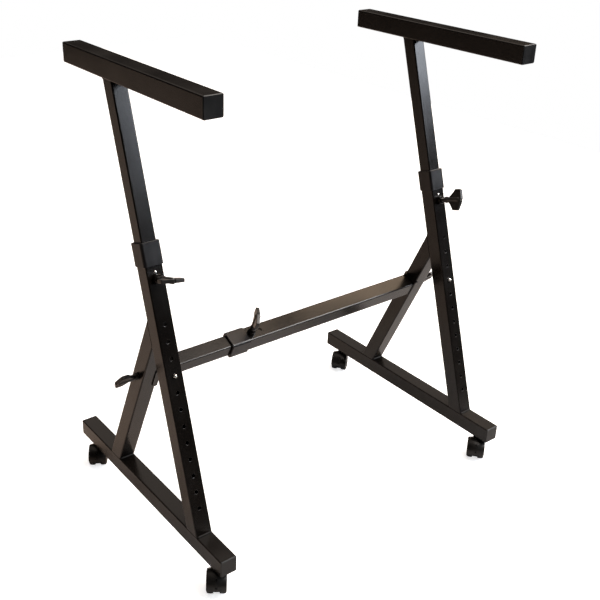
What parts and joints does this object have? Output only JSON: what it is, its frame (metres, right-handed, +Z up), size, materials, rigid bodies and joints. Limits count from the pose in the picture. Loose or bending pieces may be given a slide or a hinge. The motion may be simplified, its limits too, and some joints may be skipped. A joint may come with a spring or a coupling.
{
  "type": "keyboard stand",
  "caption": "Rolling stand for a keyboard: two frames of black square tube with flat arms, set in height and width by telescopic tubes.",
  "frame": {"origin": "on the floor, midway between the two frames and midway along their bases", "axes": "+X from the left frame to the right frame, +Y to the rear (posts lean to +Y), +Z up"},
  "size_m": [0.7806, 0.513, 0.8597],
  "materials": {
    "painted_steel": "satin powder coat",
    "cap_plastic": "fine grain",
    "collar_plastic": "satin",
    "knob_plastic": "half gloss",
    "caster_plastic": "half gloss",
    "wheel_plastic": "satin",
    "zinc_steel": "bright zinc",
    "dark_steel": "blackened",
    "spring_steel": "blued"
  },
  "bodies": {
    "left_frame": {"left_base_tube": "painted_steel", "left_base_end_caps": "cap_plastic", "left_outer_post": "painted_steel", "left_brace": "painted_steel", "left_post_collar": "collar_plastic", "left_collar_rivet": "zinc_steel", "left_threaded_bosses": "painted_steel", "left_caster_nuts": "zinc_steel", "left_caster_stems": "zinc_steel", "left_crossbar_bracket": "painted_steel", "crossbar_inner_tube": "painted_steel"},
    "right_frame": {"right_base_tube": "painted_steel", "right_base_end_caps": "cap_plastic", "right_outer_post": "painted_steel", "right_brace": "painted_steel", "right_post_collar": "collar_plastic", "right_collar_rivet": "zinc_steel", "right_threaded_bosses": "painted_steel", "right_caster_nuts": "zinc_steel", "right_caster_stems": "zinc_steel", "right_crossbar_bracket": "painted_steel", "crossbar_outer_tube": "painted_steel", "crossbar_collar": "collar_plastic"},
    "left_arm": {"left_inner_post": "painted_steel", "left_arm_tube": "painted_steel", "left_arm_end_caps": "cap_plastic", "left_snap_spring": "spring_steel"},
    "left_snap": {"left_snap_button": "zinc_steel"},
    "left_post_knob": {"left_post_knob_wing": "knob_plastic", "left_post_knob_stud": "dark_steel"},
    "left_bracket_knob": {"left_bracket_knob_wing": "knob_plastic", "left_bracket_knob_stud": "dark_steel"},
    "right_arm": {"right_inner_post": "painted_steel", "right_arm_tube": "painted_steel", "right_arm_end_caps": "cap_plastic", "right_snap_spring": "spring_steel"},
    "right_snap": {"right_snap_button": "zinc_steel"},
    "right_post_knob": {"right_post_knob_wing": "knob_plastic", "right_post_knob_stud": "dark_steel"},
    "right_bracket_knob": {"right_bracket_knob_wing": "knob_plastic", "right_bracket_knob_stud": "dark_steel"},
    "crossbar_knob": {"crossbar_knob_wing": "knob_plastic", "crossbar_knob_stud": "dark_steel"},
    "front_left_caster": {"front_left_caster_hood": "caster_plastic", "front_left_caster_axle": "zinc_steel"},
    "front_left_left_wheel": {"front_left_left_wheel": "wheel_plastic"},
    "front_left_right_wheel": {"front_left_right_wheel": "wheel_plastic"},
    "rear_left_caster": {"rear_left_caster_hood": "caster_plastic", "rear_left_caster_axle": "zinc_steel"},
    "rear_left_left_wheel": {"rear_left_left_wheel": "wheel_plastic"},
    "rear_left_right_wheel": {"rear_left_right_wheel": "wheel_plastic"},
    "front_right_caster": {"front_right_caster_hood": "caster_plastic", "front_right_caster_axle": "zinc_steel"},
    "front_right_left_wheel": {"front_right_left_wheel": "wheel_plastic"},
    "front_right_right_wheel": {"front_right_right_wheel": "wheel_plastic"},
    "rear_right_caster": {"rear_right_caster_hood": "caster_plastic", "rear_right_caster_axle": "zinc_steel"},
    "rear_right_left_wheel": {"rear_right_left_wheel": "wheel_plastic"},
    "rear_right_right_wheel": {"rear_right_right_wheel": "wheel_plastic"}
  },
  "joints": [
    {"name": "width_slide", "type": "slide", "parent": "left_frame", "child": "right_frame", "axis": [1, 0, 0], "range_m": [-0.145, 0.195]},
    {"name": "left_height_slide", "type": "slide", "parent": "left_frame", "child": "left_arm", "axis": [0, 0.2974, 0.9548], "range_m": [-0.24, 0.09], "deforming": ["left_snap_button"]},
    {"name": "left_snap_press", "type": "slide", "parent": "left_arm", "child": "left_snap", "axis": [0, 0.9548, -0.2974], "range_m": [0, 0.007], "stiffness_N_per_m": 1500, "springref_m": -0.003, "deforming": ["left_snap_spring"]},
    {"name": "left_post_knob_turn", "type": "hinge", "parent": "left_frame", "child": "left_post_knob", "pos_m": [-0.331, -0.0443, 0.51928], "axis": [0, -0.9548, 0.2974], "continuous": true},
    {"name": "left_bracket_knob_turn", "type": "hinge", "parent": "left_frame", "child": "left_bracket_knob", "pos_m": [-0.347, 0.00613, 0.31355], "axis": [-1, 0, 0], "continuous": true},
    {"name": "right_height_slide", "type": "slide", "parent": "right_frame", "child": "right_arm", "axis": [0, 0.2974, 0.9548], "range_m": [-0.24, 0.09], "deforming": ["right_snap_button"]},
    {"name": "right_snap_press", "type": "slide", "parent": "right_arm", "child": "right_snap", "axis": [0, 0.9548, -0.2974], "range_m": [0, 0.007], "stiffness_N_per_m": 1500, "springref_m": -0.003, "deforming": ["right_snap_spring"]},
    {"name": "right_post_knob_turn", "type": "hinge", "parent": "right_frame", "child": "right_post_knob", "pos_m": [0.331, -0.0443, 0.51928], "axis": [0, -0.9548, 0.2974], "continuous": true},
    {"name": "right_bracket_knob_turn", "type": "hinge", "parent": "right_frame", "child": "right_bracket_knob", "pos_m": [0.347, 0.00613, 0.31355], "axis": [1, 0, 0], "continuous": true},
    {"name": "crossbar_knob_turn", "type": "hinge", "parent": "right_frame", "child": "crossbar_knob", "pos_m": [-0.1055, -0.00048, 0.32812], "axis": [0, -0.4131, 0.9107], "continuous": true},
    {"name": "front_left_swivel", "type": "hinge", "parent": "left_frame", "child": "front_left_caster", "pos_m": [-0.331, -0.219, 0.05], "axis": [0, 0, 1], "continuous": true},
    {"name": "front_left_left_wheel_roll", "type": "hinge", "parent": "front_left_caster", "child": "front_left_left_wheel", "pos_m": [-0.33923, -0.23033, 0.02], "axis": [0.809, -0.5878, 0], "continuous": true},
    {"name": "front_left_right_wheel_roll", "type": "hinge", "parent": "front_left_caster", "child": "front_left_right_wheel", "pos_m": [-0.33923, -0.23033, 0.02], "axis": [0.809, -0.5878, 0], "continuous": true},
    {"name": "rear_left_swivel", "type": "hinge", "parent": "left_frame", "child": "rear_left_caster", "pos_m": [-0.331, 0.219, 0.05], "axis": [0, 0, 1], "continuous": true},
    {"name": "rear_left_left_wheel_roll", "type": "hinge", "parent": "rear_left_caster", "child": "rear_left_left_wheel", "pos_m": [-0.33863, 0.20726, 0.02], "axis": [0.8387, -0.5446, 0], "continuous": true},
    {"name": "rear_left_right_wheel_roll", "type": "hinge", "parent": "rear_left_caster", "child": "rear_left_right_wheel", "pos_m": [-0.33863, 0.20726, 0.02], "axis": [0.8387, -0.5446, 0], "continuous": true},
    {"name": "front_right_swivel", "type": "hinge", "parent": "right_frame", "child": "front_right_caster", "pos_m": [0.331, -0.219, 0.05], "axis": [0, 0, 1], "continuous": true},
    {"name": "front_right_left_wheel_roll", "type": "hinge", "parent": "front_right_caster", "child": "front_right_left_wheel", "pos_m": [0.32027, -0.228, 0.02], "axis": [0.6428, -0.766, 0], "continuous": true},
    {"name": "front_right_right_wheel_roll", "type": "hinge", "parent": "front_right_caster", "child": "front_right_right_wheel", "pos_m": [0.32027, -0.228, 0.02], "axis": [0.6428, -0.766, 0], "continuous": true},
    {"name": "rear_right_swivel", "type": "hinge", "parent": "right_frame", "child": "rear_right_caster", "pos_m": [0.331, 0.219, 0.05], "axis": [0, 0, 1], "continuous": true},
    {"name": "rear_right_left_wheel_roll", "type": "hinge", "parent": "rear_right_caster", "child": "rear_right_left_wheel", "pos_m": [0.32012, 0.21019, 0.02], "axis": [0.6293, -0.7771, 0], "continuous": true},
    {"name": "rear_right_right_wheel_roll", "type": "hinge", "parent": "rear_right_caster", "child": "rear_right_right_wheel", "pos_m": [0.32012, 0.21019, 0.02], "axis": [0.6293, -0.7771, 0], "continuous": true}
  ]
}
